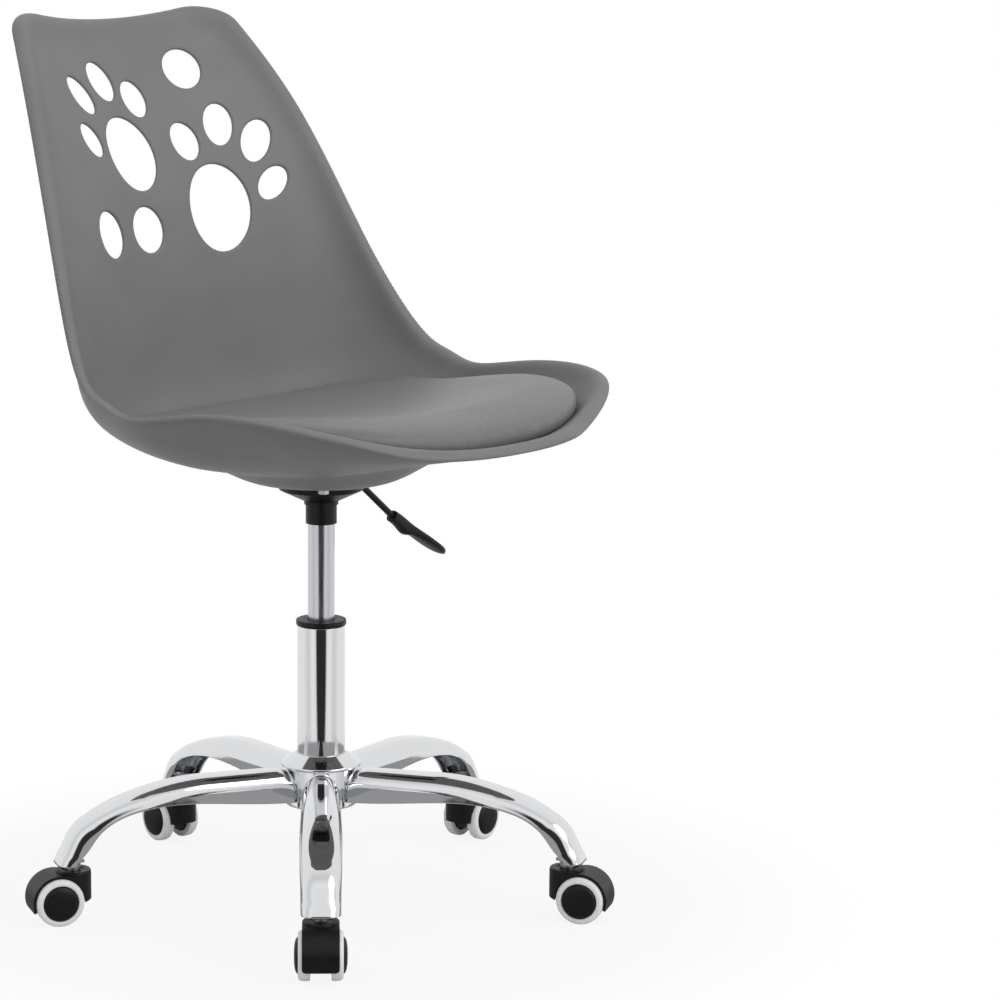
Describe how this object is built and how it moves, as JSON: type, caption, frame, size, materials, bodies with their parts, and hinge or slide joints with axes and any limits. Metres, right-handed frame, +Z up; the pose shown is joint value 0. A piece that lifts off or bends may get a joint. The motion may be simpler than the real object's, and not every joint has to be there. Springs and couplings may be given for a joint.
{
  "type": "swivel chair",
  "caption": "Gas-lift swivel chair: moulded bucket shell with paw-print cut-outs and a fitted seat pad, height lever under the seat, chrome star base on swivel casters.",
  "frame": {"origin": "on the floor, under the axis of the gas column", "axes": "+Z up, the sitter faces -Y, +X is the sitter's left, where the lever is"},
  "size_m": [0.5983, 0.6178, 0.9192],
  "materials": {
    "chromed_steel": "bright chrome plate on pressed steel",
    "satin_cylinder": "satin chrome on drawn steel tube",
    "zinc_steel": "bright zinc plate",
    "black_steel": "black powder coat",
    "black_plastic": "moulded black nylon, slight sheen",
    "black_rubber": "moulded rubber",
    "pale_tyre": "off-white moulded tread",
    "grey_shell": "matte moulded polypropylene",
    "grey_leatherette": "smooth fine-grained leatherette",
    "board": "formed plywood, raw"
  },
  "bodies": {
    "base": {"base_hub": "chromed_steel", "hub_collar": "chromed_steel", "base_arm_1": "chromed_steel", "base_arm_2": "chromed_steel", "base_arm_3": "chromed_steel", "base_arm_4": "chromed_steel", "base_arm_5": "chromed_steel", "stem_sockets": "zinc_steel", "column_tube": "chromed_steel", "column_guide": "black_plastic", "bearing_race_lower": "zinc_steel", "bearing_balls": "zinc_steel"},
    "spindle": {"piston_rod": "zinc_steel", "piston": "zinc_steel", "bearing_race_upper": "zinc_steel", "bump_stop": "black_rubber", "rod_clip": "zinc_steel"},
    "seat": {"gas_cylinder": "satin_cylinder", "cylinder_seal": "black_rubber", "mechanism_plate": "black_steel", "lever_pivot": "zinc_steel", "mounting_bolts": "zinc_steel", "mounting_washers": "zinc_steel", "plate_nuts": "zinc_steel", "seat_shell": "grey_shell", "cushion_board": "board", "seat_cushion": "grey_leatherette"},
    "lever": {"lever_rod": "black_steel", "lever_paddle": "black_plastic"},
    "valve": {"valve_pin": "zinc_steel"},
    "caster_1": {"caster_1_hood": "black_plastic", "caster_1_pins": "zinc_steel"},
    "caster_1_wheel_a": {"caster_1_tyre_a": "pale_tyre", "caster_1_hub_a": "black_plastic"},
    "caster_1_wheel_b": {"caster_1_tyre_b": "pale_tyre", "caster_1_hub_b": "black_plastic"},
    "caster_2": {"caster_2_hood": "black_plastic", "caster_2_pins": "zinc_steel"},
    "caster_2_wheel_a": {"caster_2_tyre_a": "pale_tyre", "caster_2_hub_a": "black_plastic"},
    "caster_2_wheel_b": {"caster_2_tyre_b": "pale_tyre", "caster_2_hub_b": "black_plastic"},
    "caster_3": {"caster_3_hood": "black_plastic", "caster_3_pins": "zinc_steel"},
    "caster_3_wheel_a": {"caster_3_tyre_a": "pale_tyre", "caster_3_hub_a": "black_plastic"},
    "caster_3_wheel_b": {"caster_3_tyre_b": "pale_tyre", "caster_3_hub_b": "black_plastic"},
    "caster_4": {"caster_4_hood": "black_plastic", "caster_4_pins": "zinc_steel"},
    "caster_4_wheel_a": {"caster_4_tyre_a": "pale_tyre", "caster_4_hub_a": "black_plastic"},
    "caster_4_wheel_b": {"caster_4_tyre_b": "pale_tyre", "caster_4_hub_b": "black_plastic"},
    "caster_5": {"caster_5_hood": "black_plastic", "caster_5_pins": "zinc_steel"},
    "caster_5_wheel_a": {"caster_5_tyre_a": "pale_tyre", "caster_5_hub_a": "black_plastic"},
    "caster_5_wheel_b": {"caster_5_tyre_b": "pale_tyre", "caster_5_hub_b": "black_plastic"}
  },
  "joints": [
    {"name": "seat_swivel", "type": "hinge", "parent": "base", "child": "spindle", "pos_m": [0, 0, 0.2], "axis": [0, 0, 1], "continuous": true},
    {"name": "seat_lift", "type": "slide", "parent": "spindle", "child": "seat", "axis": [0, 0, 1], "range_m": [-0.095, 0]},
    {"name": "lever_pull", "type": "hinge", "parent": "seat", "child": "lever", "pos_m": [0.031, 0, 0.4338], "axis": [0, -1, 0], "range_deg": [0, 6], "stiffness_Nm_per_rad": 4},
    {"name": "valve_press", "type": "slide", "parent": "seat", "child": "valve", "axis": [0, 0, -1], "range_m": [0, 0.0034]},
    {"name": "caster_1_swivel", "type": "hinge", "parent": "base", "child": "caster_1", "pos_m": [-0.19601, -0.18279, 0.06], "axis": [0, 0, 1], "continuous": true},
    {"name": "caster_1_roll_a", "type": "hinge", "parent": "caster_1", "child": "caster_1_wheel_a", "pos_m": [-0.20918, -0.19506, 0.025], "axis": [0.682, -0.7314, 0], "continuous": true},
    {"name": "caster_1_roll_b", "type": "hinge", "parent": "caster_1", "child": "caster_1_wheel_b", "pos_m": [-0.20918, -0.19506, 0.025], "axis": [0.682, -0.7314, 0], "continuous": true},
    {"name": "caster_2_swivel", "type": "hinge", "parent": "base", "child": "caster_2", "pos_m": [0.11327, -0.24291, 0.06], "axis": [0, 0, 1], "continuous": true},
    {"name": "caster_2_roll_a", "type": "hinge", "parent": "caster_2", "child": "caster_2_wheel_a", "pos_m": [0.12087, -0.25922, 0.025], "axis": [0.9063, 0.4226, 0], "continuous": true},
    {"name": "caster_2_roll_b", "type": "hinge", "parent": "caster_2", "child": "caster_2_wheel_b", "pos_m": [0.12087, -0.25922, 0.025], "axis": [0.9063, 0.4226, 0], "continuous": true},
    {"name": "caster_3_swivel", "type": "hinge", "parent": "base", "child": "caster_3", "pos_m": [0.26602, 0.03266, 0.06], "axis": [0, 0, 1], "continuous": true},
    {"name": "caster_3_roll_a", "type": "hinge", "parent": "caster_3", "child": "caster_3_wheel_a", "pos_m": [0.28388, 0.03486, 0.025], "axis": [-0.1219, 0.9925, 0], "continuous": true},
    {"name": "caster_3_roll_b", "type": "hinge", "parent": "caster_3", "child": "caster_3_wheel_b", "pos_m": [0.28388, 0.03486, 0.025], "axis": [-0.1219, 0.9925, 0], "continuous": true},
    {"name": "caster_4_swivel", "type": "hinge", "parent": "base", "child": "caster_4", "pos_m": [0.05114, 0.26309, 0.06], "axis": [0, 0, 1], "continuous": true},
    {"name": "caster_4_roll_a", "type": "hinge", "parent": "caster_4", "child": "caster_4_wheel_a", "pos_m": [0.05457, 0.28076, 0.025], "axis": [-0.9816, 0.1908, 0], "continuous": true},
    {"name": "caster_4_roll_b", "type": "hinge", "parent": "caster_4", "child": "caster_4_wheel_b", "pos_m": [0.05457, 0.28076, 0.025], "axis": [-0.9816, 0.1908, 0], "continuous": true},
    {"name": "caster_5_swivel", "type": "hinge", "parent": "base", "child": "caster_5", "pos_m": [-0.23441, 0.12994, 0.06], "axis": [0, 0, 1], "continuous": true},
    {"name": "caster_5_roll_a", "type": "hinge", "parent": "caster_5", "child": "caster_5_wheel_a", "pos_m": [-0.25016, 0.13866, 0.025], "axis": [-0.4848, -0.8746, 0], "continuous": true},
    {"name": "caster_5_roll_b", "type": "hinge", "parent": "caster_5", "child": "caster_5_wheel_b", "pos_m": [-0.25016, 0.13866, 0.025], "axis": [-0.4848, -0.8746, 0], "continuous": true}
  ],
  "couplings": [
    {"joint": "valve_press", "follows": "lever_pull", "m_per_rad": 0.031}
  ]
}
